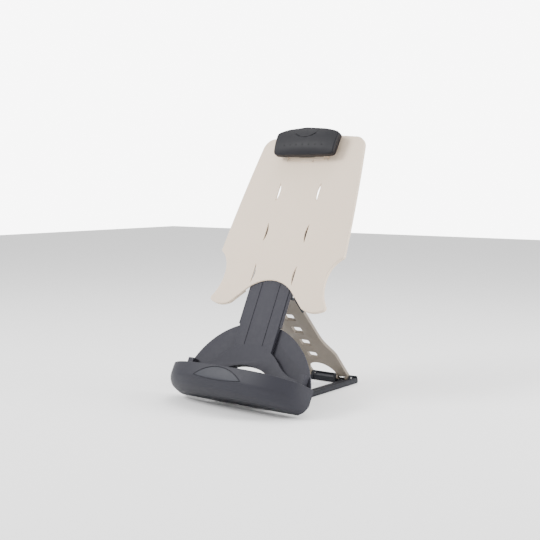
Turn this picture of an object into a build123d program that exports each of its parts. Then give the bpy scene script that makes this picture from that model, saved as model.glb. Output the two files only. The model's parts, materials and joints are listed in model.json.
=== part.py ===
"""Document holder with a tilting stand, a sliding board and a spring clip.

Millimetres, +Z up, the front faces -Y, the middle of the footprint is at X = 0, Y = 0.
Three of the bodies lean with the board, so most planes here are set in board coordinates:
u runs to the right, v runs up the leaning face and h stands out of it.
The board's front face is h = 0 and v = 0 lies on the second row of slots.
"""
import os
from math import atan2, cos, degrees, hypot, pi, radians, sin

from build123d import *

os.makedirs("parts", exist_ok=True)

# ---- driving dimensions --------------------------------------------------------------
lean = 27.3            # board tilt from upright at rest, degrees
hinge_y = -64.1        # stand hinge: distance in front of the footprint's middle
hinge_z = 36.5         # stand hinge height
foot_y = 129.0         # strut hinge behind the middle
foot_z = 10.5          # strut hinge height
hinge_drop = 224.3     # stand hinge below the board's zero, along the board
track_back = 20.0      # both stand pivots lie this far behind the board's face

gap = 0.3              # working gap between neighbouring bodies
run = 0.05             # running clearance round every pin

arm_in = 41.0          # base arms, inner and outer faces
arm_out = 53.0
arm_foot = 0.8         # height of the rubber feet
arm_top = 8.8
rear_edge = 145.0

board_skin = 2.2
skirt_depth = 6.0
slot_pitch = 68.45
slot_first = -67.65
slot_half = 15.75
tip_u = 38.7
slot_in = 35.6
slot_out = 38.2

column_front = -2.6    # h of the column's front face
column_half = 35.8
flange_half = 39.2
channel_half = 31.0
channel_back = -12.0
lip_back = -14.0
fan_front = -8.6
fan_back = -11.6
fan_radius = 119.6
fan_centre = -262.4

wall = 2.6             # ledge tray wall

strut_deep = 5.0
head_half = 33.5
pin_small = 1.5
pin_head = 2.0
pin_hinge = 2.5

# ---- derived geometry ----------------------------------------------------------------
s = sin(radians(lean))
c = cos(radians(lean))
zero_y = hinge_y + hinge_drop * s - track_back * c
zero_z = hinge_z + hinge_drop * c + track_back * s

# The strut is exactly as long as the distance between the two base pivots.  The three
# pivots then stay an isosceles triangle and the strut turns twice as far as the stand.
reach_y = foot_y - hinge_y
reach_z = hinge_z - foot_z
strut_long = hypot(reach_y, reach_z)
base_angle = 90 - lean + degrees(atan2(reach_z, reach_y))
track_run = 2 * strut_long * cos(radians(base_angle))
head_v = track_run - hinge_drop
head_y = hinge_y + track_run * s
head_z = hinge_z + track_run * c
slope = atan2(head_z - foot_z, foot_y - head_y)


def at(u, v, h):
    """Point at board coordinates u, v, h."""
    return (u, zero_y + v * s - h * c, zero_z + v * c + h * s)


def face(h):
    """Plane parallel to the board at height h, drawn in (u, v)."""
    return Plane(origin=at(0, 0, h), x_dir=(1, 0, 0), z_dir=(0, -c, s))


def level(v):
    """Plane square across the board at v, drawn in (u, -h)."""
    return Plane(origin=at(0, v, 0), x_dir=(1, 0, 0), z_dir=(0, s, c))


def side(u):
    """Plane along the board's flank at u, drawn in (v, h)."""
    return Plane(origin=at(u, 0, 0), x_dir=(0, s, c), z_dir=(1, 0, 0))


strut_face = Plane(
    origin=(0, foot_y, foot_z),
    x_dir=(1, 0, 0),
    z_dir=(0, -sin(slope), -cos(slope)),
)
base_side = Plane.YZ


def block(u0, u1, v0, v1, h0, h1, mode=Mode.ADD):
    """Box between board coordinates."""
    middle = face((h0 + h1) / 2) * Location(((u0 + u1) / 2, (v0 + v1) / 2, 0))
    with Locations(middle):
        Box(u1 - u0, v1 - v0, h1 - h0, mode=mode)


def bar(x0, x1, y0, y1, z0, z1, mode=Mode.ADD):
    """Box between plain X, Y, Z limits."""
    with Locations(((x0 + x1) / 2, (y0 + y1) / 2, (z0 + z1) / 2)):
        Box(x1 - x0, y1 - y0, z1 - z0, mode=mode)


# ---- base frame ------------------------------------------------------------------------
with BuildPart() as base_frame:
    for x in (arm_in, -arm_out):
        with BuildSketch(base_side.offset(x)):
            with Locations(((rear_edge - 84) / 2, (arm_foot + arm_top) / 2)):
                RectangleRounded(rear_edge + 84, arm_top - arm_foot, 2.0)
        extrude(amount=arm_out - arm_in)
        with BuildSketch(base_side.offset(x)):
            with Locations((hinge_y, hinge_z)):
                Circle(6.5)
            with Locations((-69, 5)):
                Rectangle(26, 6)
            make_hull()
        extrude(amount=arm_out - arm_in)
    bar(-arm_in, arm_in, -82, -72, arm_foot, arm_top)
    bar(-arm_in, arm_in, 125, rear_edge, arm_foot, arm_top)
    bar(-arm_out + 1, arm_out - 1, 141.5, rear_edge, arm_top - 3, 11.5)
    for x in (24.2, -47.3):
        bar(x, x + 23.1, 118, 141.5, 3.6, 20, mode=Mode.SUBTRACT)
    for x in (19.5, 47.5, -23.8, -50.5):
        with BuildSketch(base_side.offset(x)):
            with Locations((foot_y, foot_z)):
                Circle(4.3)
            with Locations((foot_y + 1, 4)):
                Rectangle(14, 5)
            make_hull()
        extrude(amount=4.3 if abs(x + 1.6) < 26 else 3.0)
    with BuildSketch(base_side.offset(-60)):
        with Locations((foot_y, foot_z)):
            Circle(pin_small)
    extrude(amount=120, mode=Mode.SUBTRACT)
    with BuildSketch(base_side.offset(-60)):
        with Locations((hinge_y, hinge_z)):
            Circle(pin_hinge)
    extrude(amount=120, mode=Mode.SUBTRACT)
    for x in (-47, 47):
        for y in (-75, 119):
            with Locations((x, y, arm_foot + 0.8)):
                Cylinder(2, 1.6, mode=Mode.SUBTRACT)

with BuildPart() as base_feet:
    for x in (-47, 47):
        for y in (-75, 119):
            with Locations((x, y, arm_foot / 2)):
                Cylinder(5, arm_foot)
            with Locations((x, y, arm_foot + 0.7)):
                Cylinder(2, 1.4)

with BuildPart() as strut_pivot_pins:
    for x in (18.9, -50.3):
        with BuildSketch(base_side.offset(x)):
            with Locations((foot_y, foot_z)):
                Circle(pin_small)
        extrude(amount=31.4)

with BuildPart() as base_hinge_pins:
    for x in (29.5, -52.6):
        with BuildSketch(base_side.offset(x)):
            with Locations((hinge_y, hinge_z)):
                Circle(pin_hinge)
        extrude(amount=23.1)

# ---- strut -----------------------------------------------------------------------------
windows = (51.2, 82.0, 112.7, 143.1)
with BuildPart() as strut:
    with BuildSketch(strut_face):
        with BuildLine():
            Polyline((0, 186), (26.9, 186), (26.9, strut_long), (30.8, strut_long), (30.8, 158))
            Polyline((30.8, 158), (head_half, 158), (head_half, 100))
            Spline((head_half, 100), (38.5, 75), (45.5, 55), tangents=[(0, -1), (0.15, -1)])
            Polyline((45.5, 55), (45.5, 0), (24.5, 0), (24.5, 10.97))
            ThreePointArc((24.5, 10.97), (17.678, 23.678), (0, 31))
            mirror(about=Plane.YZ)
        make_face()
        for w in windows:
            with Locations((0, w)):
                RectangleRounded(18, 14.5, 2.5, mode=Mode.SUBTRACT)
    extrude(amount=-strut_deep)
    with BuildSketch(strut_face.offset(-strut_deep)):
        with Locations((0, 95)):
            Rectangle(60, 118)
        for w in windows:
            with Locations((0, w)):
                RectangleRounded(23, 19.5, 4, mode=Mode.SUBTRACT)
        for w in (66.6, 97.3, 127.9):
            with Locations((0, w)):
                Rectangle(60, 2, mode=Mode.SUBTRACT)
    extrude(amount=2.6, mode=Mode.SUBTRACT)
    for x in (24.5, -45.5):
        with BuildSketch(base_side.offset(x)):
            with Locations((foot_y, foot_z)):
                Circle(4.5)
        extrude(amount=21)
    for x in (26.9, -30.8):
        with BuildSketch(base_side.offset(x)):
            with Locations((head_y, head_z)):
                Circle(5.5)
        extrude(amount=3.9)
    for x in (27.5, -40.5):
        with BuildSketch(strut_face.offset(-0.6)):
            with Locations((x + 6.5, 0.5)):
                Rectangle(13, 11)
        extrude(amount=8, mode=Mode.SUBTRACT)
    with BuildSketch(base_side.offset(-60)):
        with Locations((foot_y, foot_z)):
            Circle(pin_small + run)
    extrude(amount=120, mode=Mode.SUBTRACT)
    with BuildSketch(base_side.offset(-60)):
        with Locations((head_y, head_z)):
            Circle(pin_head)
    extrude(amount=120, mode=Mode.SUBTRACT)

with BuildPart() as strut_yoke:
    for x in (30.8, -head_half):
        with BuildSketch(strut_face):
            with Locations((x + 1.35, (158 + strut_long) / 2)):
                Rectangle(2.7, strut_long - 158)
        extrude(amount=-strut_deep)
        with BuildSketch(base_side.offset(x)):
            with Locations((head_y, head_z)):
                Circle(5.5)
        extrude(amount=2.7)
    with BuildSketch(strut_face.offset(-strut_deep)):
        with Locations((0, 166)):
            RectangleRounded(2 * head_half, 11, 1)
    extrude(amount=-2.4)
    with BuildSketch(base_side.offset(-60)):
        with Locations((head_y, head_z)):
            Circle(pin_head)
    extrude(amount=120, mode=Mode.SUBTRACT)

with BuildPart() as head_pin:
    with BuildSketch(base_side.offset(-33.2)):
        with Locations((head_y, head_z)):
            Circle(pin_head)
    extrude(amount=66.4)

# ---- carriage --------------------------------------------------------------------------
with BuildPart() as track_carriage:
    block(-30.5, 30.5, head_v - 13, head_v + 13, channel_back + gap, column_front - 3.3)
    block(-23.4, 23.4, head_v - 11, head_v + 11, -14.4, channel_back + gap)
    block(-26.5, 26.5, head_v - 9, head_v + 9, -16.6, -14.4)
    for x in (20, -26.5):
        with BuildSketch(side(x)):
            with Locations((head_v, -track_back)):
                Circle(5.2)
            with Locations((head_v, -15.6)):
                Rectangle(15, 2)
            make_hull()
        extrude(amount=6.5)
    block(-18, 18, head_v - 10, head_v + 10, -7.1, -5.8, mode=Mode.SUBTRACT)
    with BuildSketch(side(-40)):
        with Locations((head_v, -track_back)):
            Circle(pin_head + run)
    extrude(amount=80, mode=Mode.SUBTRACT)

with BuildPart() as carriage_pad:
    block(-18, 18, head_v - 10, head_v + 10, -7.1, -5.7)

# ---- stand: column, fan, ledge -----------------------------------------------------------
with BuildPart() as column:
    with BuildSketch(level(-148)):
        with Locations((0, 4.1)):
            Rectangle(2 * column_half, 3.0)
        with Locations((0, 5.3)):
            Rectangle(2 * flange_half, 3.0)
    extrude(amount=176)
    with BuildSketch(level(20)):
        with Locations((0, 4.1)):
            Rectangle(69.6, 3.0)
    extrude(amount=18)
    with BuildSketch(level(-110)):
        with Locations((0, 10)):
            Rectangle(67, 8)
    extrude(amount=148)
    with BuildSketch(level(-148)):
        with Locations((0, 8.8)):
            Rectangle(2 * channel_half, 6.4)
    extrude(amount=190, mode=Mode.SUBTRACT)
    with BuildSketch(level(-112)):
        with Locations((0, 13)):
            Rectangle(48, 4)
    extrude(amount=152, mode=Mode.SUBTRACT)
    # lower plate: the stem widens into the bell over the arch
    with BuildSketch(face(fan_front)):
        with BuildLine():
            Polyline((0, -147), (column_half, -147), (column_half, -188.0))
            Line((column_half, -188.0), (57, -204.5))
            Spline((57, -204.5), (67.9, -212.7), (79.3, -217.8), (97.5, -220.5))
            Polyline((97.5, -220.5), (97.5, -251), (0, -251))
            mirror(about=Plane.YZ)
        make_face()
        with Locations((0, -295.5)):
            Circle(85, mode=Mode.SUBTRACT)
    extrude(amount=column_front - fan_front)
    with BuildSketch(face(column_front)):
        with BuildLine():
            ThreePointArc((0, -179), (32.0, -185.6), (57, -204.5))
            Spline((57, -204.5), (67.9, -212.7), (79.3, -217.8), (97.5, -220.5))
            Polyline((97.5, -220.5), (97.5, -251), (0, -251))
            mirror(about=Plane.YZ)
        make_face()
        with Locations((0, -295.5)):
            Circle(85, mode=Mode.SUBTRACT)
    extrude(amount=0.8)
    with BuildSketch(face(column_front)):
        with Locations((-16.6, -70), (16.6, -70)):
            Rectangle(1.0, 218)
    extrude(amount=-0.8, mode=Mode.SUBTRACT)
    with BuildSketch(face(fan_front)):
        with Locations((-20, -160), (20, -160), (-66, -222), (66, -222)):
            Circle(1.5)
    extrude(amount=4, mode=Mode.SUBTRACT)

with BuildPart() as fan_plate:
    with BuildSketch(face(fan_back)):
        with Locations((0, fan_centre)):
            Circle(fan_radius)
        with Locations((0, fan_centre - 70)):
            Rectangle(300, 140, mode=Mode.SUBTRACT)
        fillet(vertices(), 13)
        with BuildLine():
            ThreePointArc((-72.4, -250.9), (0, -210.5), (72.4, -250.9))
            Line((72.4, -250.9), (-72.4, -250.9))
        make_face(mode=Mode.SUBTRACT)
    extrude(amount=fan_front - fan_back)
    for x in (98, -108):
        block(x, x + 10, -246, -212, fan_front, 3.4)
    for x in (30, -40.4):
        with BuildSketch(side(x)):
            with Locations((-hinge_drop, -track_back)):
                Circle(6.5)
            with Locations((18.3 - hinge_drop, fan_back - 1)):
                Rectangle(20, 2)
            make_hull()
        extrude(amount=10.4)
    with BuildSketch(face(fan_front)):
        with Locations((0, -295.5)):
            Circle(85)
        with Locations((0, -340)):
            Rectangle(300, 178.2, mode=Mode.SUBTRACT)
    extrude(amount=fan_back - fan_front, mode=Mode.SUBTRACT)
    with BuildSketch(side(-60)):
        with Locations((-hinge_drop, -track_back)):
            Circle(pin_hinge + run)
    extrude(amount=120, mode=Mode.SUBTRACT)
    with BuildSketch(face(fan_back)):
        with Locations((-20, -160), (20, -160), (-66, -222), (66, -222)):
            Circle(1.5)
        with Locations((-84, -256.5), (-28, -256.5), (28, -256.5), (84, -256.5)):
            Circle(1.5)
    extrude(amount=fan_front - fan_back, mode=Mode.SUBTRACT)

with BuildPart() as column_screws:
    with BuildSketch(face(fan_back)):
        with Locations((-20, -160), (20, -160), (-66, -222), (66, -222)):
            Circle(2.9)
    extrude(amount=-1.7)
    with BuildSketch(face(fan_back)):
        with Locations((-20, -160), (20, -160), (-66, -222), (66, -222)):
            Circle(1.5)
    extrude(amount=6.6)

with BuildPart() as ledge_screws:
    with BuildSketch(face(fan_back)):
        with Locations((-84, -256.5), (-28, -256.5), (28, -256.5), (84, -256.5)):
            Circle(2.7)
    extrude(amount=-1.4)
    with BuildSketch(face(fan_back)):
        with Locations((-84, -256.5), (-28, -256.5), (28, -256.5), (84, -256.5)):
            Circle(1.5)
    extrude(amount=4.9)

# Sections of the ledge tray: height v, half width, reach of the front.
tray_sections = (
    (-268.0, 106.0, 30.0),
    (-263.5, 113.5, 46.0),
    (-256.5, 118.5, 53.5),
    (-248.0, 120.5, 57.0),
    (-229.5, 121.0, 56.0),
)
tray_turn = 2 / 2.7     # the front is squarer in plan than an ellipse


def tray_outline(half, front, inset):
    """Points of one section's front edge from the left end to the right end."""
    reach = front - inset - fan_front
    points = []
    for k in range(13):
        angle = pi * (12 - k) / 12
        across = abs(cos(angle)) ** tray_turn * (half - inset)
        along = abs(sin(angle)) ** tray_turn * reach
        points.append((across if k > 6 else -across, -fan_front - along))
    return points


with BuildPart() as ledge_skin:
    for v, half, front in tray_sections:
        with BuildSketch(level(v)):
            with BuildLine():
                edge = tray_outline(half, front, 0)
                Spline(*edge, tangents=[(0, -1), (0, 1)])
                Line(edge[-1], edge[0])
            make_face()
    loft()

with BuildPart() as ledge_core:
    for v, half, front in tray_sections:
        with BuildSketch(level(v)):
            with BuildLine():
                edge = tray_outline(half, front, 1.1)
                Spline(*edge, tangents=[(0, -1), (0, 1)])
                Line(edge[-1], edge[0])
            make_face()
    loft()

badge_plane = face(30)
with BuildPart() as ledge_badge:
    with BuildSketch(badge_plane):
        with BuildLine():
            ThreePointArc((-41.5, -247.5), (0, -232.5), (41.5, -247.5))
            ThreePointArc((41.5, -247.5), (0, -250.5), (-41.5, -247.5))
        make_face()
    extrude(amount=40)
    add(ledge_skin.part, mode=Mode.INTERSECT)
    add(ledge_core.part, mode=Mode.SUBTRACT)

with BuildPart() as ledge_tray:
    add(ledge_skin.part)
    for v, half, front in tray_sections:
        with BuildSketch(level(v + wall)):
            with BuildLine():
                edge = tray_outline(half, front, wall)
                Spline(*edge, tangents=[(0, -1), (0, 1)])
                Line(edge[-1], edge[0])
            make_face()
    loft(mode=Mode.SUBTRACT)
    block(-100, 100, -266, -252, fan_front, fan_front + 2.6)
    with BuildSketch(face(fan_front)):
        with Locations((-84, -256.5), (-28, -256.5), (28, -256.5), (84, -256.5)):
            Circle(1.5)
    extrude(amount=2.0, mode=Mode.SUBTRACT)

# The badge sits in a recess with a fine groove all round it.
with BuildPart() as badge_recess:
    with BuildSketch(badge_plane):
        with BuildLine():
            ThreePointArc((-42.6, -247.7), (0, -231.9), (42.6, -247.7))
            ThreePointArc((42.6, -247.7), (0, -251.1), (-42.6, -247.7))
        make_face()
    extrude(amount=40)
    add(ledge_core.part, mode=Mode.SUBTRACT)

with BuildPart() as ledge_cut:
    add(ledge_tray.part)
    add(badge_recess.part, mode=Mode.SUBTRACT)
ledge_tray = ledge_cut

# ---- board -----------------------------------------------------------------------------
slot_rows = [slot_first + slot_pitch * k for k in range(4)]
with BuildPart() as document_board:
    with BuildSketch(face(0)) as outline:
        with BuildLine():
            ThreePointArc((0, 169), (38, 168), (75, 165))
            ThreePointArc((75, 165), (89.5, 159.6), (95.5, 148))
            ThreePointArc((95.5, 148), (107.2, 52), (114.3, -30))
            ThreePointArc((114.3, -30), (113.4, -34.6), (110.5, -36.5))
            ThreePointArc((110.5, -36.5), (98.4, -51.5), (93.9, -72))
            ThreePointArc((93.9, -72), (96.6, -92), (105, -108.5))
            ThreePointArc((105, -108.5), (106.6, -113.5), (103, -117.4))
            ThreePointArc((103, -117.4), (84, -121.3), (66, -116.5))
            Polyline((66, -116.5), (61, -111.5), (40, -91.63))
            ThreePointArc((40, -91.63), (20.7, -80.56), (0, -77))
            mirror(about=Plane.YZ)
        make_face()
    extrude(amount=-skirt_depth)
    with BuildSketch(face(-board_skin)):
        add(outline.sketch_local)
        offset(amount=-2.2)
    extrude(amount=-skirt_depth, mode=Mode.SUBTRACT)
    block(-44, 44, -125, 0, -8, -board_skin, mode=Mode.SUBTRACT)
    with BuildSketch(face(0)):
        for v in slot_rows:
            for k in (-1, 1):
                with BuildLine():
                    tip = k * tip_u
                    ThreePointArc((tip, v - slot_half), (k * slot_in, v), (tip, v + slot_half))
                    ThreePointArc((tip, v + slot_half), (k * slot_out, v), (tip, v - slot_half))
                make_face()
    extrude(amount=-3, mode=Mode.SUBTRACT)
    with BuildSketch(face(-board_skin)):
        with Locations((-46, -40), (-46, 19), (46, -40), (46, 19)):
            Circle(1.2)
    extrude(amount=1.5, mode=Mode.SUBTRACT)

guide_lo = -47
guide_hi = 26
with BuildPart() as guide_right:
    block(39.5, 42, guide_lo, guide_hi, -9.3, -board_skin)
    block(36.6, 42, guide_lo, guide_hi, -9.3, -7.1)
    block(42, 50, guide_lo, guide_hi, -4.4, -board_skin)
    for v in (guide_lo + 3, guide_hi - 15):
        block(36.6, 39.5, v, v + 12, -8.4, -7.1, mode=Mode.SUBTRACT)
    with BuildSketch(face(-5)):
        with Locations((46, -40), (46, 19)):
            Circle(1.2)
    extrude(amount=5, mode=Mode.SUBTRACT)

with BuildPart() as guide_left:
    add(mirror(guide_right.part, about=Plane.YZ))

with BuildPart() as guide_pads:
    for u in (36.7, -39.4):
        for v in (guide_lo + 3, guide_hi - 15):
            block(u, u + 2.7, v, v + 12, -8.4, -6.9)

with BuildPart() as guide_screws:
    with BuildSketch(face(-4.4)):
        with Locations((-46, -40), (-46, 19), (46, -40), (46, 19)):
            Circle(2.4)
    extrude(amount=-1.5)
    with BuildSketch(face(-4.4)):
        with Locations((-46, -40), (-46, 19), (46, -40), (46, 19)):
            Circle(1.2)
    extrude(amount=3.6)

# ---- clip mount ------------------------------------------------------------------------
clip_v = 147.0
clip_h = 9.0
clip_row = slot_rows[3]
with BuildPart() as clip_bracket:
    block(-41, 41, 131, 158, 0.1, 2.3)
    block(-31, 31, 124.6, 131, 0.1, 1.6)
    block(-11, 11, 120.5, 124.6, 0.1, 1.2)
    with BuildSketch(face(0.1)):
        for k in (-1, 1):
            with BuildLine():
                tip = k * 38.05
                near = k * (slot_in + 0.4)
                far = k * (slot_out - 0.4)
                ThreePointArc((tip, clip_row - 12.6), (near, clip_row), (tip, clip_row + 12.6))
                ThreePointArc((tip, clip_row + 12.6), (far, clip_row), (tip, clip_row - 12.6))
            make_face()
    extrude(amount=-3.5)
    for u in (26, -30):
        with BuildSketch(side(u)):
            with Locations((clip_v, clip_h)):
                Circle(3.6)
            with Locations((clip_v, 1.7)):
                Rectangle(13, 1.2)
            make_hull()
        extrude(amount=4)
    with BuildSketch(side(-60)):
        with Locations((clip_v, clip_h)):
            Circle(pin_small)
    extrude(amount=120, mode=Mode.SUBTRACT)

with BuildPart() as clip_pin:
    with BuildSketch(side(-36)):
        with Locations((clip_v, clip_h)):
            Circle(pin_small)
    extrude(amount=72)

with BuildPart() as clip_spring:
    for k in range(6):
        with Locations(Plane(origin=at(-4.5 + 1.8 * k, clip_v, clip_h), z_dir=(1, 0, 0))):
            Torus(2.7, 0.5)
    with BuildSketch(side(-5.0)):
        with Locations((clip_v - 5.5, clip_h - 5.6)):
            Rectangle(11, 1.0)
    extrude(amount=1.0)
    with BuildSketch(side(-5.0)):
        with Locations((clip_v - 0.5, clip_h - 4.2)):
            Rectangle(1.0, 3.8)
    extrude(amount=10.0)

# ---- clip ------------------------------------------------------------------------------
# Each rib: u, then the height of the shell at its foot, waist and crown.
clip_ribs = ((-62.0, 11.5, 20.0, 20.0), (0.0, 11.5, 25.0, 26.5), (62.0, 11.5, 20.0, 20.0))
with BuildPart() as clip_skin:
    for u, foot, waist, crown in clip_ribs:
        with BuildSketch(side(u)):
            with BuildLine():
                Spline((117, foot), (127, foot * 0.35 + waist * 0.65), (146, waist), (171, crown))
                Polyline((171, crown), (171, 5), (117, 5), (117, foot))
            make_face()
    loft()

with BuildPart() as clip_core:
    for u, foot, waist, crown in clip_ribs:
        with BuildSketch(side(u)):
            with BuildLine():
                a = foot - 0.9
                b = waist - 0.9
                Spline((117, a), (127, a * 0.35 + b * 0.65), (146, b), (171, crown - 0.9))
                Polyline((171, crown - 0.9), (171, 5), (117, 5), (117, a))
            make_face()
    loft()

with BuildPart() as clip_hollow:
    for u, foot, waist, crown in clip_ribs:
        with BuildSketch(side(u)):
            with BuildLine():
                a = foot - 2.2
                b = waist - 2.2
                Spline((117, a), (127, a * 0.35 + b * 0.65), (146, b), (171, crown - 2.2))
                Polyline((171, crown - 2.2), (171, 4), (117, 4), (117, a))
            make_face()
    loft()
    with BuildSketch(face(0)):
        with BuildLine():
            Polyline((0, 126.9), (53.3, 127.9), (56.2, 161.2))
            ThreePointArc((56.2, 161.2), (30, 165.4), (0, 166.8))
            mirror(about=Plane.YZ)
        make_face()
    extrude(amount=40, mode=Mode.INTERSECT)

with BuildPart() as clip_cover:
    with BuildSketch(face(9.2)):
        with BuildLine():
            Polyline((0, 124.5), (55.5, 125.6), (58.6, 163.5))
            ThreePointArc((58.6, 163.5), (30, 167.7), (0, 169))
            mirror(about=Plane.YZ)
        make_face()
        fillet(vertices().filter_by(lambda p: abs(p.X) > 10), 3)
    extrude(amount=30)
    add(clip_skin.part, mode=Mode.INTERSECT)
    add(clip_hollow.part, mode=Mode.SUBTRACT)
    for u in (31, -35):
        with BuildSketch(side(u)):
            with Locations((clip_v, clip_h)):
                Circle(3.6)
            with Locations((clip_v, 21.5)):
                Rectangle(12, 1.0)
            make_hull()
        extrude(amount=4)
    with BuildSketch(side(-60)):
        with Locations((clip_v, clip_h)):
            Circle(pin_small + run)
    extrude(amount=120, mode=Mode.SUBTRACT)

with BuildPart() as thumb_pad:
    with BuildSketch(face(12)):
        with BuildLine():
            ThreePointArc((-26.0, 168.0), (0, 152.5), (26.0, 168.0))
            ThreePointArc((26.0, 168.0), (0, 168.6), (-26.0, 168.0))
        make_face()
    extrude(amount=30)
    add(clip_skin.part, mode=Mode.INTERSECT)
    add(clip_core.part, mode=Mode.SUBTRACT)

with BuildPart() as cover_cuts:
    with BuildSketch(face(12)):
        with BuildLine():
            ThreePointArc((-26.6, 169.4), (0, 151.9), (26.6, 169.4))
            Line((26.6, 169.4), (-26.6, 169.4))
        make_face()
        with GridLocations(11.7, 1, 7, 1):
            with Locations((0, 139)):
                Circle(1.1)
    extrude(amount=30)
    add(clip_core.part, mode=Mode.SUBTRACT)

with BuildPart() as cover_cut:
    add(clip_cover.part)
    add(cover_cuts.part, mode=Mode.SUBTRACT)
clip_cover = cover_cut

with BuildPart() as clip_jaw:
    with BuildSketch(side(-15)):
        with BuildLine():
            Polyline((126.2, 2.0), (129.6, 2.0), (131.4, 19), (126.9, 16.0), (126.2, 2.0))
        make_face()
    extrude(amount=30)
    add(clip_hollow.part, mode=Mode.INTERSECT)

named_parts = {
    "base_frame": base_frame,
    "base_feet": base_feet,
    "strut_pivot_pins": strut_pivot_pins,
    "base_hinge_pins": base_hinge_pins,
    "column": column,
    "fan_plate": fan_plate,
    "ledge_tray": ledge_tray,
    "ledge_badge": ledge_badge,
    "column_screws": column_screws,
    "ledge_screws": ledge_screws,
    "strut": strut,
    "strut_yoke": strut_yoke,
    "head_pin": head_pin,
    "track_carriage": track_carriage,
    "carriage_pad": carriage_pad,
    "document_board": document_board,
    "guide_left": guide_left,
    "guide_right": guide_right,
    "guide_screws": guide_screws,
    "guide_pads": guide_pads,
    "clip_bracket": clip_bracket,
    "clip_pin": clip_pin,
    "clip_spring": clip_spring,
    "clip_cover": clip_cover,
    "thumb_pad": thumb_pad,
    "clip_jaw": clip_jaw,
}
for name, built in named_parts.items():
    built.part.label = name
    export_step(built.part, f"parts/{name}.step")
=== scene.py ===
"""Visual model of the leaning document holder, in metres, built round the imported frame."""
from math import cos, pi, radians, sin

import bpy
import numpy as np
from mathutils import Matrix, Vector
from mathutils.geometry import delaunay_2d_cdt
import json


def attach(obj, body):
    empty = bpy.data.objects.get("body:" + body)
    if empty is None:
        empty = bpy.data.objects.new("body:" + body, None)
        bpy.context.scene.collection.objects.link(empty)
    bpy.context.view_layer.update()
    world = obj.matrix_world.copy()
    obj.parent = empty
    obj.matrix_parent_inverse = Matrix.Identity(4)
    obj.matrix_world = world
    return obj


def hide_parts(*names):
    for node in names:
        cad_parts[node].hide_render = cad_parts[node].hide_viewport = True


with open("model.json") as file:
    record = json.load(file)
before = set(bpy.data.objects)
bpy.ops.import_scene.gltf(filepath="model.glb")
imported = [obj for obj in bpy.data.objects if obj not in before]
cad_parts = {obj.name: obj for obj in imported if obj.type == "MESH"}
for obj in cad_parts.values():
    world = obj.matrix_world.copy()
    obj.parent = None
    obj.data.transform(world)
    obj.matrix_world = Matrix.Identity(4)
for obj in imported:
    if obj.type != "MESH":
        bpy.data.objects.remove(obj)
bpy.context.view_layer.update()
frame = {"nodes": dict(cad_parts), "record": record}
nodes = frame["nodes"]

# ---- board coordinates, in millimetres, as the CAD uses them ------------------------------
LEAN = radians(27.3)
S, C = sin(LEAN), cos(LEAN)
HINGE_Y, HINGE_Z = -64.1, 36.5
HINGE_DROP = 224.3      # stand hinge below the board's zero, along the board
TRACK_BACK = 20         # stand hinge behind the board's face
ZERO_Y = HINGE_Y + HINGE_DROP * S - TRACK_BACK * C
ZERO_Z = HINGE_Z + HINGE_DROP * C + TRACK_BACK * S


def at(u, v, h):
    """Points in metres from board coordinates: u across, v up the board, h off its face, in mm."""
    u, v, h = np.broadcast_arrays(*(np.asarray(k, float) for k in (u, v, h)))
    return np.stack([u, ZERO_Y + v * S - h * C, ZERO_Z + v * C + h * S], -1) / 1000


def mesh_object(name, points, faces, smooth=True):
    """A new piece at the origin from points in metres and the vertex numbers of each face."""
    mesh = bpy.data.meshes.new(name)
    mesh.from_pydata(np.asarray(points).tolist(), [], [tuple(f) for f in faces])
    mesh.polygons.foreach_set("use_smooth", [smooth] * len(mesh.polygons))
    mesh.update()
    obj = bpy.data.objects.new(name, mesh)
    bpy.context.scene.collection.objects.link(obj)
    return obj


def grid_faces(rows, cols, wrap=False, flip=False):
    """Quads over a rows x cols grid of points; wrap joins the last column to the first."""
    r = np.arange(rows - 1)[:, None]
    c = np.arange(cols if wrap else cols - 1)[None, :]
    a = r * cols + c
    b = r * cols + (c + 1) % cols
    quads = np.stack([a, b, b + cols, a + cols], -1).reshape(-1, 4)
    return quads[:, ::-1] if flip else quads


def smoothstep(x):
    """Three x squared minus two x cubed, held at 0 and 1 outside that range."""
    x = np.clip(x, 0, 1)
    return x * x * (3 - 2 * x)


# ---- materials ----------------------------------------------------------------------------
ROUGH_SPREAD = 0.12
GRAIN_DEPTH = 0.00012   # metres


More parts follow.
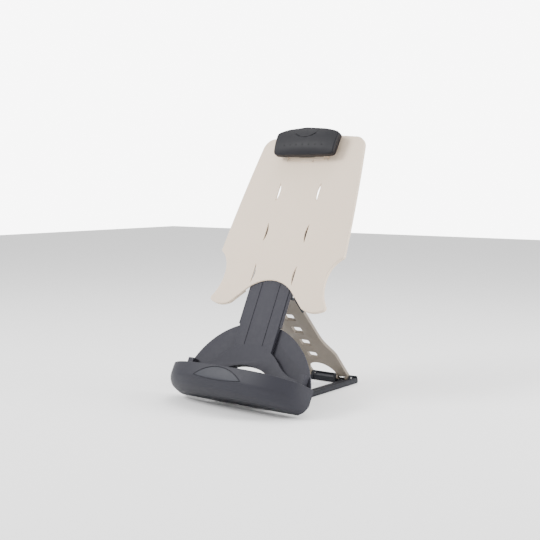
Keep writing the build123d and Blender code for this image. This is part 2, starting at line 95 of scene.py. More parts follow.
def moulded_group():
    """Surface shared by the moulded plastics, given out as a colour, a roughness and a normal.

    The colour's value is multiplied by 1 plus Drift times broad noise in -1..1. Mid noise adds up
    to ROUGH_SPREAD to the roughness. Fine noise bumps the normal with a strength of Grain.
    """
    g = bpy.data.node_groups.new("moulded_plastic", "ShaderNodeTree")
    face = g.interface
    face.new_socket("Colour", in_out="INPUT", socket_type="NodeSocketColor")
    for name in ("Roughness", "Grain", "Drift"):
        face.new_socket(name, in_out="INPUT", socket_type="NodeSocketFloat")
    face.new_socket("Colour", in_out="OUTPUT", socket_type="NodeSocketColor")
    face.new_socket("Roughness", in_out="OUTPUT", socket_type="NodeSocketFloat")
    face.new_socket("Normal", in_out="OUTPUT", socket_type="NodeSocketVector")
    n, l = g.nodes, g.links
    inp = n.new("NodeGroupInput")
    out = n.new("NodeGroupOutput")
    where = n.new("ShaderNodeTexCoord")

    def noise(scale, detail):
        tex = n.new("ShaderNodeTexNoise")
        tex.inputs["Scale"].default_value = scale
        tex.inputs["Detail"].default_value = detail
        l.new(where.outputs["Object"], tex.inputs["Vector"])
        return tex

    broad, fine, mid = noise(14, 3), noise(1500, 2), noise(160, 5)
    drift = n.new("ShaderNodeMapRange")
    drift.inputs["From Min"].default_value = 0.35
    drift.inputs["From Max"].default_value = 0.65
    drift.inputs["To Min"].default_value = -1
    drift.inputs["To Max"].default_value = 1
    l.new(broad.outputs["Fac"], drift.inputs["Value"])
    scale = n.new("ShaderNodeMath")
    scale.operation = "MULTIPLY_ADD"
    scale.inputs[2].default_value = 1
    l.new(drift.outputs[0], scale.inputs[0])
    l.new(inp.outputs["Drift"], scale.inputs[1])
    tone = n.new("ShaderNodeHueSaturation")
    l.new(inp.outputs["Colour"], tone.inputs["Color"])
    l.new(scale.outputs[0], tone.inputs["Value"])
    rough = n.new("ShaderNodeMath")
    rough.operation = "MULTIPLY_ADD"
    rough.inputs[1].default_value = ROUGH_SPREAD
    l.new(mid.outputs["Fac"], rough.inputs[0])
    l.new(inp.outputs["Roughness"], rough.inputs[2])
    bump = n.new("ShaderNodeBump")
    bump.inputs["Distance"].default_value = GRAIN_DEPTH
    l.new(fine.outputs["Fac"], bump.inputs["Height"])
    l.new(inp.outputs["Grain"], bump.inputs["Strength"])
    l.new(tone.outputs[0], out.inputs["Colour"])
    l.new(rough.outputs[0], out.inputs["Roughness"])
    l.new(bump.outputs[0], out.inputs["Normal"])
    return g


MOULDED = moulded_group()


def plastic(name, colour, roughness, grain, drift):
    """Moulded plastic: the shared surface feeding a low-sheen shader."""
    m = bpy.data.materials.new(name)
    m.use_nodes = True
    m.diffuse_color = (*colour, 1)
    n, l = m.node_tree.nodes, m.node_tree.links
    surface = n.new("ShaderNodeGroup")
    surface.node_tree = MOULDED
    surface.inputs["Colour"].default_value = (*colour, 1)
    surface.inputs["Roughness"].default_value = roughness
    surface.inputs["Grain"].default_value = grain
    surface.inputs["Drift"].default_value = drift
    shader = n["Principled BSDF"]
    shader.inputs["IOR"].default_value = 1.49
    shader.inputs["Specular IOR Level"].default_value = 0.2
    l.new(surface.outputs["Colour"], shader.inputs["Base Color"])
    l.new(surface.outputs["Roughness"], shader.inputs["Roughness"])
    l.new(surface.outputs["Normal"], shader.inputs["Normal"])
    return m


def metal(name, colour, roughness, stretch):
    """Bare metal whose roughness varies by noise, scaled along each axis by stretch."""
    m = bpy.data.materials.new(name)
    m.use_nodes = True
    m.diffuse_color = (*colour, 1)
    n, l = m.node_tree.nodes, m.node_tree.links
    shader = n["Principled BSDF"]
    shader.inputs["Base Color"].default_value = (*colour, 1)
    shader.inputs["Metallic"].default_value = 1
    where = n.new("ShaderNodeTexCoord")
    mapping = n.new("ShaderNodeMapping")
    mapping.inputs["Scale"].default_value = stretch
    noise = n.new("ShaderNodeTexNoise")
    noise.inputs["Scale"].default_value = 900
    ramp = n.new("ShaderNodeMapRange")
    ramp.inputs["To Min"].default_value = roughness - 0.08
    ramp.inputs["To Max"].default_value = roughness + 0.12
    l.new(where.outputs["Object"], mapping.inputs["Vector"])
    l.new(mapping.outputs[0], noise.inputs["Vector"])
    l.new(noise.outputs["Fac"], ramp.inputs["Value"])
    l.new(ramp.outputs[0], shader.inputs["Roughness"])
    return m


LOOKS = {
    "board": plastic("board_beige", (0.74, 0.61, 0.48), 0.5, 0.25, 0.012),
    # painted shade: the strut's base colour is set far darker than the board's beige, standing in for
    # the shade it lies in behind the board
    "strut": plastic("strut_painted_shade", (0.22, 0.19, 0.157), 0.5, 0.3, 0.015),
    "column": plastic("column_slate", (0.026, 0.0255, 0.034), 0.5, 0.35, 0.03),
    "frame": plastic("frame_dark", (0.014, 0.015, 0.019), 0.5, 0.35, 0.04),
    "ledge": plastic("ledge_slate", (0.023, 0.023, 0.030), 0.46, 0.35, 0.03),
    "clip": plastic("clip_slate", (0.0095, 0.0095, 0.0125), 0.46, 0.35, 0.03),
    "badge": plastic("badge_smooth", (0.028, 0.029, 0.037), 0.42, 0.1, 0.02),
    "slider": plastic("slider_plastic", (0.035, 0.035, 0.04), 0.4, 0.2, 0.02),
    "soft_pad": plastic("soft_rubber", (0.008, 0.008, 0.009), 0.62, 0.6, 0.06),
    "pin_steel": metal("drawn_steel", (0.66, 0.65, 0.63), 0.24, (1, 12, 12)),
    "screw_steel": metal("zinc_steel", (0.42, 0.42, 0.43), 0.34, (6, 6, 6)),
}
node_slot = {p["node"]: p["material_slot"] for p in frame["record"]["subparts"]}


def paint(obj, look):
    """Gives obj the one material named look."""
    obj.data.materials.clear()
    obj.data.materials.append(LOOKS[look])


# ---- CAD pieces that are shown as they are, with moulded edge radii ------------------------
EDGE = {
    "base_frame": 0.9, "base_feet": 0.3, "strut": 0.7, "strut_yoke": 0.5, "column": 0.45,
    "fan_plate": 0.6, "track_carriage": 0.4, "guide_left": 0.3,
    "guide_right": 0.3, "clip_bracket": 0.35, "clip_jaw": 0.3, "column_screws": 0.35,
    "ledge_screws": 0.3, "guide_screws": 0.3, "strut_pivot_pins": 0.25, "base_hinge_pins": 0.35,
    "head_pin": 0.3, "clip_pin": 0.25, "carriage_pad": 0.15, "guide_pads": 0.15,
}


def soften(obj, width):
    """Welds the frame's facets and rounds its sharp edges by width millimetres."""
    weld = obj.modifiers.new("weld", "WELD")
    weld.merge_threshold = 1e-6
    flat = obj.modifiers.new("flat", "DECIMATE")
    flat.decimate_type = "DISSOLVE"
    flat.angle_limit = radians(0.6)
    bevel = obj.modifiers.new("edge", "BEVEL")
    bevel.width = width / 1000
    bevel.segments = 3
    bevel.limit_method = "ANGLE"
    bevel.angle_limit = radians(38)
    bevel.use_clamp_overlap = True
    bevel.harden_normals = True
    for poly in obj.data.polygons:
        poly.use_smooth = True


for name, obj in nodes.items():
    if name in EDGE:
        soften(obj, EDGE[name])
    paint(obj, node_slot[name])

# the bracket's visible edge has the board's colour
paint(nodes["clip_bracket"], "board")

# ---- ledge tray ---------------------------------------------------------------------------
# Outer profile of the trough: height v, half width, reach h of the front.
TRAY = np.array([
    (-268.0, 106.0, 30.0), (-263.5, 113.5, 46.0), (-256.5, 118.5, 53.5),
    (-248.0, 120.5, 57.0), (-229.5, 121.0, 56.0),
])
TRAY_TURN = 2 / 2.6     # power of the plan: 1 is an ellipse, less is squarer
TRAY_DRAW_IN = 0.3      # keeps the rounded front inside the solid's
BACK = -8.6             # h of the trough's back edge
FLOOR_V, RIM_V = -267.95, -229.55
WALL = 2.6
LIP = 0.9               # height of the rounded lip
BADGE_DROP = 1.0        # depth of the badge's recess


def hermite(x, xs, ys):
    """Piecewise cubic through (xs, ys), with mean slopes, level where the steps change sign."""
    step = np.diff(ys) / np.diff(xs)
    slope = np.concatenate([step[:1], (step[1:] + step[:-1]) / 2, step[-1:]])
    slope[1:-1][step[1:] * step[:-1] <= 0] = 0
    x = np.clip(x, xs[0], xs[-1])
    k = np.clip(np.searchsorted(xs, x) - 1, 0, len(xs) - 2)
    w = xs[k + 1] - xs[k]
    t = (x - xs[k]) / w
    return ((2 * t ** 3 - 3 * t ** 2 + 1) * ys[k] + (t ** 3 - 2 * t ** 2 + t) * w * slope[k]
            + (3 * t ** 2 - 2 * t ** 3) * ys[k + 1] + (t ** 3 - t ** 2) * w * slope[k + 1])


def tray_at(v, inset):
    """Half width and front reach of the tray at v."""
    v = np.asarray(v, float)
    return (hermite(v, TRAY[:, 0], TRAY[:, 1]) - inset,
            hermite(v, TRAY[:, 0], TRAY[:, 2]) - TRAY_DRAW_IN - inset)


class Lens:
    """Outline between a high arc and a low arc that share their two tips."""

    def __init__(self, half, top, tips, foot):
        self.half = half
        up, down = top - tips, tips - foot
        self.r1 = (half ** 2 + up ** 2) / (2 * up)
        self.c1 = top - self.r1
        self.r2 = (half ** 2 + down ** 2) / (2 * down)
        self.c2 = foot + self.r2

    def inside(self, u, v):
        """Distance from the outline, positive inside."""
        return np.minimum(self.r1 - np.hypot(u, v - self.c1), self.r2 - np.hypot(u, v - self.c2))

    def span(self, u):
        """Lowest and highest v at u."""
        return (self.c2 - np.sqrt(np.maximum(self.r2 ** 2 - u * u, 0)),
                self.c1 + np.sqrt(np.maximum(self.r1 ** 2 - u * u, 0)))


BADGE = Lens(41.5, -232.5, -247.5, -250.5)


def tray_ring(theta, v, inset, push=0.0):
    """Across and off-face places round the superellipse of the plan; push sinks the front."""
    half, front = tray_at(v, inset)
    across = np.abs(np.cos(theta)) ** TRAY_TURN * np.sign(np.cos(theta))
    along = np.abs(np.sin(theta)) ** TRAY_TURN
    return half * across, BACK + (front - BACK - push) * along


def build_tray():
    """Trough on a grid: round the plan in theta; floor, outside, lip, inside and floor in rows."""
    # closer columns where the badge lies
    near = np.linspace(-45, 45, 221) / 120.8
    middle = np.arccos(np.sign(near) * np.abs(near) ** (1 / TRAY_TURN))[::-1]
    theta = np.concatenate([
        np.linspace(pi, middle[-1], 60)[:-1], middle[::-1], np.linspace(middle[0], 0, 60)[1:]])
    rows = []

    def wall_row(v_plan, v, inset, push=0.0):
        u, h = tray_ring(theta, v_plan, inset, push)
        rows.append((u, h, np.full_like(u, v)))

    def floor_row(k, v_plan, v, inset):
        u, h = tray_ring(theta, v_plan, inset)
        rows.append((u * k, BACK + (h - BACK) * k, np.full_like(u, v)))

    # underside, from the middle of the floor out to the turn of the wall
    for k in np.linspace(0.02, 0.97, 10):
        floor_row(k, FLOOR_V, FLOOR_V, 0)
    # outside wall with the badge's recess and groove
    low_rows = np.linspace(FLOOR_V + 0.15, -252.5, 18)
    badge_rows = np.linspace(-252, RIM_V - LIP, 78)
    for v in np.concatenate([low_rows, badge_rows]):
        u, h = tray_ring(theta, v, 0)
        inside = BADGE.inside(u, np.full_like(u, v))
        wall_row(v, v, 0, BADGE_DROP * smoothstep((inside + 1.15) / 0.45) * (h > 20))
    # rounded lip and the inside wall
    for a in np.linspace(0.15, pi - 0.15, 9):
        wall_row(RIM_V, RIM_V - LIP + LIP * np.sin(a), WALL / 2 * (1 - np.cos(a)))
    for v in np.linspace(RIM_V - 1.2, FLOOR_V + WALL, 26):
        wall_row(v - WALL * 0.6, v, WALL)
    for k in np.linspace(0.96, 0.02, 10):
        floor_row(k, FLOOR_V + 1.0, FLOOR_V + WALL, WALL)
    pts = np.array([at(u, v, h) for u, h, v in rows])
    return mesh_object("ledge_shell", pts.reshape(-1, 3), grid_faces(len(rows), len(theta)))


def build_flange():
    """Low back wall of the trough, where its screws sit: a bar with rounded edges."""
    corners = [at(u, v, h) for u in (-100, 100) for v in (-264.5, -252.2) for h in (-8.5, -6.0)]
    faces = [(0, 1, 3, 2), (4, 6, 7, 5), (0, 4, 5, 1), (2, 3, 7, 6), (0, 2, 6, 4), (1, 5, 7, 3)]
    flange = mesh_object("ledge_flange", corners, faces, smooth=False)
    bevel = flange.modifiers.new("edge", "BEVEL")
    bevel.width = 0.0006
    bevel.segments = 3
    return flange


def tray_front(u, v):
    """Height off the board's plane of the trough's front at u and v: the plan solved for h."""
    half, front = tray_at(v, 0)
    along = np.maximum(1 - (np.abs(u) / half) ** (2 / TRAY_TURN), 0) ** (TRAY_TURN / 2)
    return BACK + (front - BACK) * along


PLATE_EDGE = 0.6        # width of a let-in plate's rounded edge
PLATE_ROUND = 0.35      # how far that edge falls
PLATE_THICK = 0.8


def rounded_fall(distance):
    """Quarter-ellipse fall of a plate's face, from nothing at PLATE_EDGE in to its full depth."""
    return PLATE_ROUND * (1 - np.sqrt(1 - (1 - np.clip(distance / PLATE_EDGE, 0, 1)) ** 2))


def build_badge():
    """Bare lens-shaped plate, flush in its recess: k runs from its low arc to its high one."""
    u = BADGE.half * np.sin(np.linspace(-1, 1, 161) * pi / 2)
    foot, top = BADGE.span(u)
    k = np.concatenate([[0, 0], np.linspace(0.004, 0.06, 6), np.linspace(0.08, 0.92, 28),
                        np.linspace(0.94, 0.996, 6), [1, 1]])[:, None]
    vv = foot + (top - foot) * k
    uu = np.broadcast_to(u, vv.shape)
    depth = rounded_fall(np.clip(np.minimum(BADGE.inside(uu, vv), top - vv), 0, None))
    depth[0] = depth[-1] = PLATE_THICK
    pts = at(uu, vv, tray_front(uu, vv) - depth)
    return mesh_object("badge_plate", pts.reshape(-1, 3), grid_faces(*vv.shape))


tray = build_tray()
flange = build_flange()
badge = build_badge()
for obj, look in ((tray, "ledge"), (flange, "ledge"), (badge, "badge")):
    paint(obj, look)
    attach(obj, "stand")
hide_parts("ledge_tray")
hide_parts("ledge_badge")

# ---- clip cover ---------------------------------------------------------------------------
PIN_V, PIN_H = 147, 9               # the pin that the clip turns on
CLIP_MID_V = 144
CLIP_FOOT, CLIP_TOP = 124.5, 169    # lower and upper edge at the middle
FOOT_BOW, TOP_BOW = 1.1, 5.5        # how far those edges bow in towards the ends
CLIP_FLOOR = 9.3                    # h of the cover's lower rim
COVER_WALL = 2.2
COVER_TURN = 1.8                    # radius between the sides and the face
# heights of the cover at four places up the board, at its ends and at its middle
STATIONS_V = np.array([117.0, 127.0, 146.0, 171.0])
SIDE_H = np.array([11.5, 17.025, 20.0, 20.0])
MID_H = np.array([11.5, 20.275, 25.0, 26.5])
SIDE_FIT = np.polyfit(STATIONS_V - CLIP_MID_V, SIDE_H, 3)
MID_FIT = np.polyfit(STATIONS_V - CLIP_MID_V, MID_H, 3)


def clip_height(u, v):
    """Height of the cover's skin: cubics in v at the ends and the middle, a parabola between."""
    low, high = np.polyval(SIDE_FIT, v - CLIP_MID_V), np.polyval(MID_FIT, v - CLIP_MID_V)
    return high + (low - high) * (u / 62.0) ** 2


def clip_plan(p, q, inset):
    """Plan point for p across and q up, both in -1..1, inset millimetres from the outline."""
    low = CLIP_FOOT + inset + FOOT_BOW * p * p
    high = CLIP_TOP - inset - TOP_BOW * p * p
    v = low + (high - low) * (q + 1) / 2
    half = 55.5 + 3.0 * (v - 125.6) / 38 - inset
    return p * half, v


# the thumb pad's lower edge: an arc of this half width and rise, lowest at PAD_FOOT
PAD_HALF, PAD_RISE, PAD_FOOT = 26.0, 15.5, 152.5
PAD_R = (PAD_HALF ** 2 + PAD_RISE ** 2) / (2 * PAD_RISE)
PAD_C = PAD_FOOT + PAD_R


def build_clip():
    """Cover and its lining: rings round a superellipse plan, from the lower rim up and inwards."""
    count = 300
    angle = np.linspace(0, 2 * pi, count, endpoint=False)
    # a rounded square, so that the corners of the outline get their radius
    power = 2 / 13.0
    p = np.sign(np.cos(angle)) * np.abs(np.cos(angle)) ** power
    q = np.sign(np.sin(angle)) * np.abs(np.sin(angle)) ** power

    def ring(k, inset, height):
        u, v = clip_plan(p * k, q * k, inset)
        return at(u, v, height(u, v))

    def level(h):
        return lambda u, v: np.full_like(u, h)

    def sunk(depth):
        return lambda u, v: np.maximum(clip_height(u, v) - depth, CLIP_FLOOR + 0.5)

    def face(u, v):
        """Skin with the recess that the thumb pad lies in."""
        inside = PAD_R - np.hypot(u, v - PAD_C)
        return clip_height(u, v) - 0.9 * smoothstep((inside + 0.9) / 0.5)

    rows = [ring(1.0, inset, level(h)) for inset, h in (
        (COVER_WALL, CLIP_FLOOR + 0.4), (1.9, CLIP_FLOOR), (0.35, CLIP_FLOOR), (0.0, CLIP_FLOOR + 0.4))]
    rows += [ring(1.0, COVER_TURN * (1 - np.cos(a)), sunk(COVER_TURN * (1 - np.sin(a))))
             for a in np.linspace(0, pi / 2, 9)]
    rows += [ring(k, COVER_TURN, face)
             for k in np.concatenate([np.linspace(0.985, 0.35, 110), np.linspace(0.33, 0.0, 30)])]
    shell = mesh_object(
        "clip_shell", np.array(rows).reshape(-1, 3), grid_faces(len(rows), count, wrap=True))
    rows = [ring(1.0, COVER_WALL, level(CLIP_FLOOR + 0.4)), ring(1.0, COVER_WALL, sunk(3.0))]
    rows += [ring(k, 2.4, lambda u, v: clip_height(u, v) - 2.3) for k in np.linspace(0.95, 0.0, 20)]
    lining = mesh_object(
        "clip_lining", np.array(rows).reshape(-1, 3),
        grid_faces(len(rows), count, wrap=True, flip=True))
    return shell, lining


def build_dots():
    """Seven dark spots across the cover: flat discs 0.05 mm proud of it, each ringed by a groove."""
    angle = np.linspace(0, 2 * pi, 28, endpoint=False)
    spot_v, pitch, proud = 139, 11.7, 0.05

    def disc(middle):
        rings = []
        for r, drop in ((1.25, -0.02), (1.12, -0.05), (1.0, 0.0), (0.0, 0.0)):
            u, v = middle + r * np.cos(angle), spot_v + r * np.sin(angle)
            rings.append(at(u, v, clip_height(u, v) + proud + drop))
        faces = grid_faces(len(rings), len(angle), wrap=True)
        return mesh_object("cover_dot", np.array(rings).reshape(-1, 3), faces)

    return [disc((j - 3) * pitch) for j in range(7)]


def build_thumb():
    """Half-round plate in the cover's recess: k runs from its arc up to the cover's upper edge."""
    u = (PAD_HALF - 0.8) * np.sin(np.linspace(-1, 1, 161) * pi / 2)
    low = PAD_C - np.sqrt(PAD_R ** 2 - u * u) + 0.1
    top = np.maximum(CLIP_TOP - 0.7 - TOP_BOW * (u / 58) ** 2, low + 0.02)
    k = np.concatenate([[0, 0], np.linspace(0.004, 0.06, 6), np.linspace(0.08, 1, 34), [1]])[:, None]
    v = low + (top - low) * k
    uu = np.broadcast_to(u, v.shape)
    fall = np.clip((v - (top - COVER_TURN)) / COVER_TURN, 0, 1)
    depth = rounded_fall(v - low) + COVER_TURN * (1 - np.sqrt(1 - fall ** 2 * 0.98))
    depth[0] = PLATE_THICK
    depth[-1] = 2.6
    return mesh_object("thumb_plate", at(uu, v, clip_height(uu, v) - depth).reshape(-1, 3),
                       grid_faces(*v.shape))


def build_clip_ears():
    """Two solid ears inside the cover, round at the pin and square above; they have no bore."""
    radius, width = 3.6, 4
    a = np.linspace(-0.3, pi + 0.3, 24)
    outline = np.stack([PIN_V + radius * np.cos(-a), PIN_H + radius * np.sin(-a)], -1)
    outline = np.concatenate([outline, [(141, 22.0), (153, 22.0)]])
    n = len(outline)
    faces = [tuple(range(n)), tuple(range(2 * n - 1, n - 1, -1))]
    faces += [(i, i + n, (i + 1) % n + n, (i + 1) % n) for i in range(n)]

    def ear(side):
        sides = [at(side + k, outline[:, 0], outline[:, 1]) for k in (0, width)]
        return mesh_object("clip_ear", np.concatenate(sides), faces, smooth=False)

    return [ear(side) for side in (31.0, -35.0)]


shell, lining = build_clip()
thumb = build_thumb()
dressed = [(shell, "clip"), (lining, "clip"), (thumb, "clip")]
dressed += [(ear, "clip") for ear in build_clip_ears()] + [(dot, "soft_pad") for dot in build_dots()]
for obj, look in dressed:
    paint(obj, look)
    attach(obj, "clip")
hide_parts("clip_cover")
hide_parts("thumb_pad")

# ---- board --------------------------------------------------------------------------------
BOARD_SKIN = 2.2
SKIRT = 6.0             # depth of the rim that runs round the board's back
BOARD_TURN = 1.5        # radius of the front edge
FREE_HALF = 43.995      # within this the lower edge is an arch without a skirt
SLOT_FIRST, SLOT_PITCH, SLOT_HALF = -67.65, 68.45, 15.75
SLOT_TIP, SLOT_IN, SLOT_OUT = 38.7, 35.0, 38.5


def arc(p0, mid, p1, n):
    """n points from p0 to p1 on the circle through mid, without the last."""
    (x0, y0), (x1, y1), (x2, y2) = p0, mid, p1
    d = 2 * (x0 * (y1 - y2) + x1 * (y2 - y0) + x2 * (y0 - y1))
    a, b, e = x0 ** 2 + y0 ** 2, x1 ** 2 + y1 ** 2, x2 ** 2 + y2 ** 2
    cx = (a * (y1 - y2) + b * (y2 - y0) + e * (y0 - y1)) / d
    cy = (a * (x2 - x1) + b * (x0 - x2) + e * (x1 - x0)) / d
    r = np.hypot(x0 - cx, y0 - cy)
    t0, tm, t1 = (np.arctan2(y - cy, x - cx) for x, y in (p0, mid, p1))
    way = 1 if (tm - t0) % (2 * pi) < (t1 - t0) % (2 * pi) else -1
    sweep = ((t1 - t0) * way) % (2 * pi) * way
    t = t0 + sweep * np.arange(n) / n
    return np.stack([cx + r * np.cos(t), cy + r * np.sin(t)], -1)


def board_outline():
    """Clockwise outline: arcs and straights down the right half, mirrored back up the left."""
    runs = [
        ((0, 169), (38, 168), (75, 165), 24),
        ((75, 165), (89.5, 159.6), (95.5, 148), 20),
        ((95.5, 148), (107.2, 52), (114.3, -30), 60),
        ((114.3, -30), (113.4, -34.6), (110.5, -36.5), 10),
        ((110.5, -36.5), (98.4, -51.5), (93.9, -72), 22),
        ((93.9, -72), (96.6, -92), (105, -108.5), 22),
        ((105, -108.5), (106.6, -113.5), (103, -117.4), 14),
        ((103, -117.4), (84, -121.3), (66, -116.5), 20),
    ]
    half = np.concatenate([arc(*r) for r in runs] + [
        np.linspace((66, -116.5), (61, -111.5), 5, endpoint=False),
        np.linspace((61, -111.5), (44, -95.4), 12, endpoint=False),
        np.linspace((43.99, -95.39), (40, -91.63), 4, endpoint=False),
        arc((40, -91.63), (20.7, -80.56), (0, -77), 26), [(0, -77)]])
    return np.concatenate([half, (half * (-1, 1))[1:-1][::-1]])


def inset_by(loop, amount):
    """The closed loop moved inwards (clockwise loops) by amount, which may vary by point."""
    step = np.roll(loop, -1, 0) - np.roll(loop, 1, 0)
    step /= np.linalg.norm(step, axis=1)[:, None]
    return loop + np.stack([step[:, 1], -step[:, 0]], -1) * np.reshape(amount, (-1, 1))


def within(loop, points):
    """Which points lie inside the closed loop: a ray from each crosses it an odd number of times."""
    (x, y), (x2, y2) = loop.T, np.roll(loop, -1, 0).T
    px, py = points[:, :1], points[:, 1:]
    cross = (y > py) != (y2 > py)
    where = x + (py - y) * (x2 - x) / np.where(y2 == y, 1e-9, y2 - y)
    return np.sum(cross & (px < where), axis=1) % 2 == 1


def slot_loops():
    """Crescent slots, each between two arcs that share their tips, in pairs up the board."""
    loops = []
    for row in range(4):
        v = SLOT_FIRST + SLOT_PITCH * row
        for k in (-1, 1):
            low, high = (k * SLOT_TIP, v - SLOT_HALF), (k * SLOT_TIP, v + SLOT_HALF)
            loop = np.concatenate([
                arc(low, (k * SLOT_IN, v), high, 20), arc(high, (k * SLOT_OUT, v), low, 20)])
            loops.append(loop if k > 0 else loop[::-1])
    return loops


def build_board():
    """Board as nested rings of its outline, from its face over the edge to the back of its skin.

    The face and the back are triangles between the outline's ring and those of the slots.
    """
    outline = board_outline()
    free = (np.abs(outline[:, 0]) < FREE_HALF) & (outline[:, 1] < 0)
    deep = np.where(free, -BOARD_SKIN, -SKIRT)
    soft = np.where(free, 0.0, 0.4)
    verts, faces = [], []

    def put(loop, h):
        start = len(verts)
        verts.extend(at(loop[:, 0], loop[:, 1], h))
        return start

    def skin(starts, count, flip=False):
        """Quads between neighbouring rings of count points, given by their first vertices."""
        i = np.arange(count)
        j = (i + 1) % count
        for a, b in zip(starts, starts[1:]):
            quads = np.stack([a + i, a + j, b + j, b + i], -1)
            faces.extend((quads[:, ::-1] if flip else quads).tolist())

    def fill(rings, h, flip):
        """Triangles between the outer ring and the holes; rings are (loop, first vertex)."""
        flat, edges, index = [], [], []
        for loop, start in rings:
            base = len(flat)
            flat += [Vector(point) for point in loop.tolist()]
            edges += [(base + i, base + (i + 1) % len(loop)) for i in range(len(loop))]
            index += range(start, start + len(loop))
        points, _, triangles, sources, _, _ = delaunay_2d_cdt(flat, edges, [], 1, 1e-6)
        origin = [index[old[0]] if old else put(np.array([new]), h)
                  for new, old in zip(points, sources)]
        middle = np.array([np.mean([points[i] for i in f], axis=0) for f in triangles])
        hollow = np.any([within(loop, middle) for loop, _ in rings[1:]], axis=0)
        for f, in_slot in zip(triangles, hollow):
            if not in_slot:
                tri = tuple(origin[i] for i in f)
                faces.append(tri[::-1] if flip else tri)

    quarter = np.linspace(0, pi / 2, 6)
    front = [(BOARD_TURN + 0.6, 0.0)]
    front += list(zip(BOARD_TURN * (1 - np.sin(quarter)), -BOARD_TURN * (1 - np.cos(quarter))))
    starts = [put(inset_by(outline, d), h) for d, h in front]
    starts += [put(inset_by(outline, d), h) for d, h in (
        (0.0, deep + soft), (soft, deep), (BOARD_SKIN - soft, deep), (BOARD_SKIN, deep + soft),
        (BOARD_SKIN, -BOARD_SKIN), (BOARD_SKIN + 0.6, -BOARD_SKIN))]
    skin(starts, len(outline))
    face_rings = [(inset_by(outline, front[0][0]), starts[0])]
    back_rings = [(inset_by(outline, BOARD_SKIN + 0.6), starts[-1])]
    for loop in slot_loops():
        mouth = inset_by(loop, -0.5)
        ring = [put(mouth, 0.0), put(inset_by(loop, -0.2), 0.0), put(loop, -0.2), put(loop, -BOARD_SKIN)]
        skin(ring, len(loop), flip=True)
        face_rings.append((mouth, ring[0]))
        back_rings.append((loop, ring[-1]))
    fill(face_rings, 0.0, False)
    fill(back_rings, -BOARD_SKIN, True)
    made = mesh_object("board_plate", verts, faces)
    made.data.set_sharp_from_angle(angle=0.7)
    return made


board = build_board()
paint(board, "board")
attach(board, "board")
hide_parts("document_board")

# ---- clip spring: a wound wire ---------------------------------------------------------------
COIL_RADIUS, COIL_HALF, COIL_TURNS = 2.7, 4.2, 5.6
WIRE_RADIUS = 0.0005    # metres
LEG_FOOT, LEG_TOP, LEG_H = 136.5, 143.2, 3.4


def wire(name, path, radius, sides=10):
    """Round wire along path; the cross-section's frame is carried from point to point."""
    tangent = np.gradient(path, axis=0)
    tangent /= np.linalg.norm(tangent, axis=1)[:, None]
    rings = []
    normal = np.cross(tangent[0], (0.3, 0.5, 0.8))
    for p, t in zip(path, tangent):
        normal = normal - t * np.dot(normal, t)
        normal /= np.linalg.norm(normal)
        other = np.cross(t, normal)
        a = np.linspace(0, 2 * pi, sides, endpoint=False)[:, None]
        rings.append(p + radius * (np.cos(a) * normal + np.sin(a) * other))
    pts = np.concatenate(rings)
    faces = [tuple(f) for f in grid_faces(len(path), sides, wrap=True)]
    faces += [tuple(range(sides))[::-1], tuple(range(len(pts) - sides, len(pts)))]
    return mesh_object(name, pts, faces)


def build_spring():
    """Straight lower leg, then a helix round the pin."""
    turn = np.linspace(-pi / 2 - 0.6, 2 * pi * COIL_TURNS - pi / 2, 260)
    u = -COIL_HALF + 2 * COIL_HALF * (turn - turn[0]) / (turn[-1] - turn[0])
    coil = at(u, PIN_V + COIL_RADIUS * np.cos(turn), PIN_H + COIL_RADIUS * np.sin(turn))
    leg = at(-COIL_HALF, np.linspace(LEG_FOOT, LEG_TOP, 8), LEG_H)
    return wire("spring_wire", np.concatenate([leg, coil]), WIRE_RADIUS)


spring = build_spring()
paint(spring, "screw_steel")
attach(spring, "clip_mount")
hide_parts("clip_spring")

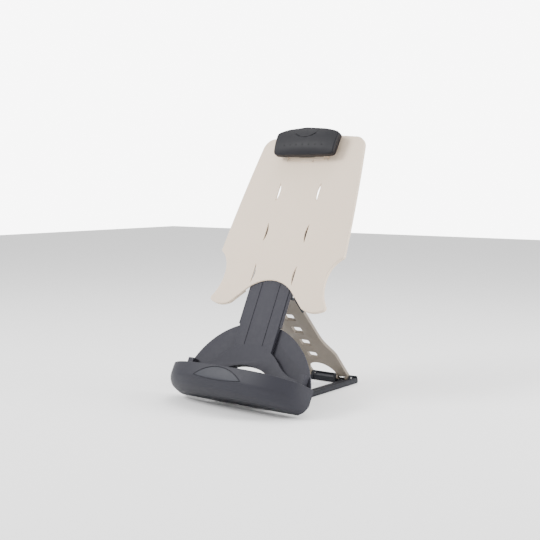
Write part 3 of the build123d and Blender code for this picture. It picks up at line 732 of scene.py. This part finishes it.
# ---- studio ---------------------------------------------------------------------------------
floor = mesh_object("studio_floor", [(-4, -4, 0), (4, -4, 0), (4, 4, 0), (-4, 4, 0)], [(0, 1, 2, 3)])
paper = bpy.data.materials.new("studio_paper")
paper.use_nodes = True
paper_shader = paper.node_tree.nodes["Principled BSDF"]
paper_shader.inputs["Base Color"].default_value = (0.97, 0.97, 0.97, 1)
paper_shader.inputs["Roughness"].default_value = 0.8
floor.data.materials.append(paper)

world = bpy.data.worlds.new("studio")
world.use_nodes = True
world_nodes, join = world.node_tree.nodes, world.node_tree.links.new
light = world_nodes["Background"]
light.inputs["Color"].default_value = (1, 1, 1, 1)
light.inputs["Strength"].default_value = 1.25
# the camera sees a brighter backdrop than the one that lights the object
seen = world_nodes.new("ShaderNodeBackground")
seen.inputs["Strength"].default_value = 10
ray = world_nodes.new("ShaderNodeLightPath")
mix = world_nodes.new("ShaderNodeMixShader")
join(ray.outputs["Is Camera Ray"], mix.inputs[0])
join(light.outputs[0], mix.inputs[1])
join(seen.outputs[0], mix.inputs[2])
join(mix.outputs[0], world_nodes["World Output"].inputs["Surface"])
bpy.context.scene.world = world


def softbox(name, place, aim, size, power):
    """Rectangular lamp at place, turned to face aim."""
    lamp = bpy.data.lights.new(name, "AREA")
    lamp.shape = "RECTANGLE"
    lamp.size, lamp.size_y = size
    lamp.energy = power
    obj = bpy.data.objects.new(name, lamp)
    bpy.context.scene.collection.objects.link(obj)
    obj.location = place
    obj.rotation_euler = (Vector(aim) - Vector(place)).to_track_quat("-Z", "Y").to_euler()
    return obj


softbox("key", (-1.0, -1.3, 1.4), (0, 0, 0.2), (0.8, 0.7), 44)
softbox("rim_right", (1.2, 0.5, 0.7), (0, 0, 0.2), (0.4, 1.0), 20)
softbox("top", (0.1, 0.4, 1.7), (0, 0, 0.2), (1.0, 1.0), 16)

lens = bpy.data.cameras.new("camera")
lens.sensor_width = 36
lens.lens = 62.2
camera = bpy.data.objects.new("camera", lens)
bpy.context.scene.collection.objects.link(camera)
right = Vector((0.79314, 0.60904, 0.0))
up = Vector((-0.05651, 0.07360, 0.99569))
back = right.cross(up)
turned = Matrix((right, up, back)).transposed().to_4x4()
camera.matrix_world = Matrix.Translation((0.84062, -1.11268, 0.32051)) @ turned
bpy.context.scene.camera = camera
